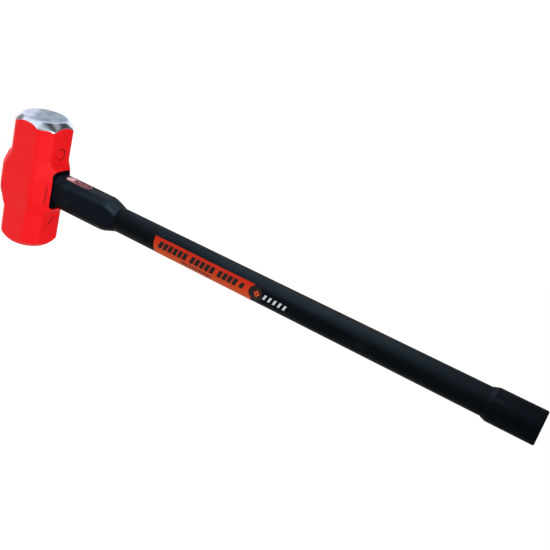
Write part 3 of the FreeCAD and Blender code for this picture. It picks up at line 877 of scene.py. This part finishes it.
HEAD_FINISH = head_material()
RUBBER = rubber_material("moulded_rubber")
COLLAR_RUBBER = rubber_material("collar_rubber", 700.0, 0.3, False, 0.035)
EYE_RUBBER = rubber_material("eye_rubber", 1200.0, 0.2, False)
NYLON = print_material("spacer_nylon", (0.07, 0.07, 0.075, 1), (0.13, 0.13, 0.14, 1), 0.5)
LABEL = label_material()
DARK_INK = print_material("dark_ink", (0.006, 0.005, 0.006, 1), (0.022, 0.012, 0.010, 1))
ORANGE_INK = print_material("orange_ink", (0.42, 0.045, 0.010, 1), (0.62, 0.075, 0.012, 1))
PALE_INK = print_material("pale_ink", (0.32, 0.37, 0.40, 1), (0.52, 0.58, 0.60, 1))
BADGE_RIM_INK = print_material("badge_rim", (0.42, 0.14, 0.18, 1), (0.54, 0.22, 0.27, 1))
BADGE_BLOCK_INK = print_material("badge_block", (0.80, 0.50, 0.54, 1), (0.95, 0.66, 0.70, 1))
BADGE_FIELD_INK = print_material("badge_field", (0.06, 0.007, 0.009, 1), (0.12, 0.013, 0.015, 1))
PLATE_STEEL = steel_material("plate_steel", (0.36, 0.37, 0.38, 1), (0.50, 0.51, 0.52, 1), (0.2, 1.0, 1.0), 0.38)
ROD_STEEL = steel_material("rod_steel", (0.28, 0.28, 0.30, 1), (0.40, 0.40, 0.42, 1), (1.0, 1.0, 0.1), 0.34)

CAD_FINISHES = {
    "head": HEAD_FINISH,
    "rest_lock_plate": PLATE_STEEL,
    "grip_lock_plate": PLATE_STEEL,
    "butt_plate": PLATE_STEEL,
    "eye_filler": EYE_RUBBER,
    "neck_badge": BADGE_FIELD_INK,
    "label_decal": LABEL,
    "emblem_decal": DARK_INK,
    "butt_collar": COLLAR_RUBBER,
}


def finish_for(node):
    if node.startswith("rod_spacer"):
        return NYLON
    if node.startswith("rod_"):
        return ROD_STEEL
    return CAD_FINISHES.get(node, RUBBER)


def paint(obj, made):
    obj.data.materials.clear()
    obj.data.materials.append(made)


for name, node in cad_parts.items():
    paint(node, finish_for(name))
paint(build_head(), HEAD_FINISH)
RUBBER_PIECES = [build_neck(), build_mouth_flange(), build_sleeve(), build_collar()]
for piece, rubber in zip(RUBBER_PIECES, (RUBBER, RUBBER, RUBBER, COLLAR_RUBBER)):
    paint(piece, rubber)
paint(build_label(), LABEL)
paint(build_label_bars(), DARK_INK)
for piece, ink in zip(build_emblem(), (DARK_INK, ORANGE_INK, DARK_INK)):
    paint(piece, ink)
paint(build_pale_bars(), PALE_INK)
for piece, ink in zip(build_badge(), (BADGE_RIM_INK, BADGE_BLOCK_INK, BADGE_FIELD_INK, BADGE_RIM_INK)):
    paint(piece, ink)

# ---------------------------------------------------------------- stage, light and camera

FLOOR_SIZE = 12.0
FLOOR_GREY = 0.25
FLOOR_GLOW = 0.95
WHITE = (1, 1, 1)


def build_floor():
    bm = bmesh.new()
    bmesh.ops.create_grid(bm, x_segments=8, y_segments=8, size=FLOOR_SIZE)
    mesh = bpy.data.meshes.new("floor")
    bm.to_mesh(mesh)
    bm.free()
    floor = bpy.data.objects.new("floor", mesh)
    bpy.context.scene.collection.objects.link(floor)
    shader = Shader("pale_floor", Roughness=0.95, Emission_Color=(*WHITE, 1), Emission_Strength=FLOOR_GLOW)
    shader.surface.inputs["Base Color"].default_value = (FLOOR_GREY, FLOOR_GREY, FLOOR_GREY, 1)
    shader.surface.inputs["Specular IOR Level"].default_value = 0.0
    floor.data.materials.append(shader.made)


def area_light(name, place, target, size, power):
    data = bpy.data.lights.new(name, "AREA")
    data.shape = "RECTANGLE"
    data.size, data.size_y = size
    data.energy = power
    light = bpy.data.objects.new(name, data)
    light.location = Vector(place)
    light.rotation_euler = (Vector(target) - Vector(place)).to_track_quat("-Z", "Y").to_euler()
    light.visible_camera = False
    bpy.context.scene.collection.objects.link(light)
    return light


def shine_only_on(light, pieces):
    receivers = bpy.data.collections.new(light.name + "_receivers")
    for piece in pieces:
        receivers.objects.link(piece)
    light.light_linking.receiver_collection = receivers


# Grey levels round the room, as (share of a full turn, level).
WORLD_BANDS = (
    (0.0, 0.10), (0.022, 0.34), (0.044, 0.72), (0.075, 0.98), (0.12, 0.60), (0.30, 0.36), (0.50, 0.34),
    (0.75, 0.28), (0.80, 0.16), (0.86, 0.06), (0.90, 0.16), (0.935, 0.60), (0.96, 0.32), (0.985, 0.05),
)


def build_light():
    """White to the camera, and a softly banded grey room for everything that the hammer reflects."""
    world = bpy.data.worlds.new("studio")
    bpy.context.scene.world = world
    world.use_nodes = True
    nodes, links = world.node_tree.nodes, world.node_tree.links
    nodes.clear()
    output = nodes.new("ShaderNodeOutputWorld")
    mix = nodes.new("ShaderNodeMixShader")
    path = nodes.new("ShaderNodeLightPath")
    place = nodes.new("ShaderNodeTexCoord")
    round_the_room = nodes.new("ShaderNodeTexGradient")
    round_the_room.gradient_type = "RADIAL"
    links.new(place.outputs["Generated"], round_the_room.inputs["Vector"])
    bands = nodes.new("ShaderNodeValToRGB")
    elements = bands.color_ramp.elements
    for index, (position, level) in enumerate(WORLD_BANDS):
        element = elements[index] if index < 2 else elements.new(position)
        element.position = position
        element.color = (level, level, level, 1)
    links.new(round_the_room.outputs["Fac"], bands.inputs["Fac"])
    seen = nodes.new("ShaderNodeBackground")
    lit = nodes.new("ShaderNodeBackground")
    seen.inputs["Color"].default_value = (1, 1, 1, 1)
    links.new(bands.outputs["Color"], lit.inputs["Color"])
    links.new(path.outputs["Is Camera Ray"], mix.inputs["Fac"])
    links.new(lit.outputs[0], mix.inputs[1])
    links.new(seen.outputs[0], mix.inputs[2])
    links.new(mix.outputs[0], output.inputs["Surface"])
    side = area_light("side", place=(-0.85, -0.05, 0.20), target=(0, 0, 0.20), size=(1.5, 0.44), power=40)
    side.data.color = (0.74, 0.90, 1.0)
    shine_only_on(side, RUBBER_PIECES)
    bevel = area_light("bevel", place=(-0.52, -0.50, 0.10), target=(0, 0, 0.13), size=(0.3, 0.3), power=26)
    bevel.data.color = (0.74, 0.88, 1.0)
    shine_only_on(bevel, RUBBER_PIECES[:1])
    area_light("front", place=(-0.2, -0.75, 2.1), target=(0, 0, 0.1), size=(0.8, 0.8), power=37)


CAMERA_PLACE = Vector((-0.4227, -0.8230, 0.7583))
CAMERA_RIGHT = Vector((-0.25763, 0.47079, 0.84379))
CAMERA_FORWARD = Vector((0.40755, 0.84474, -0.34688))
CAMERA_LENS = 53.7


def build_camera():
    data = bpy.data.cameras.new("camera")
    data.lens = CAMERA_LENS
    data.sensor_width = 36
    data.clip_start = 0.01
    data.clip_end = 50
    camera = bpy.data.objects.new("camera", data)
    forward = CAMERA_FORWARD.normalized()
    right = (CAMERA_RIGHT - forward * CAMERA_RIGHT.dot(forward)).normalized()
    up = right.cross(forward)
    camera.matrix_world = Matrix((right, up, -forward)).transposed().to_4x4()
    camera.location = CAMERA_PLACE
    bpy.context.scene.collection.objects.link(camera)
    bpy.context.scene.camera = camera


build_floor()
build_light()
build_camera()
bpy.context.scene.view_settings.view_transform = "Standard"


def corners(bounds):
    return [list(map(float, corner)) for corner in bounds]
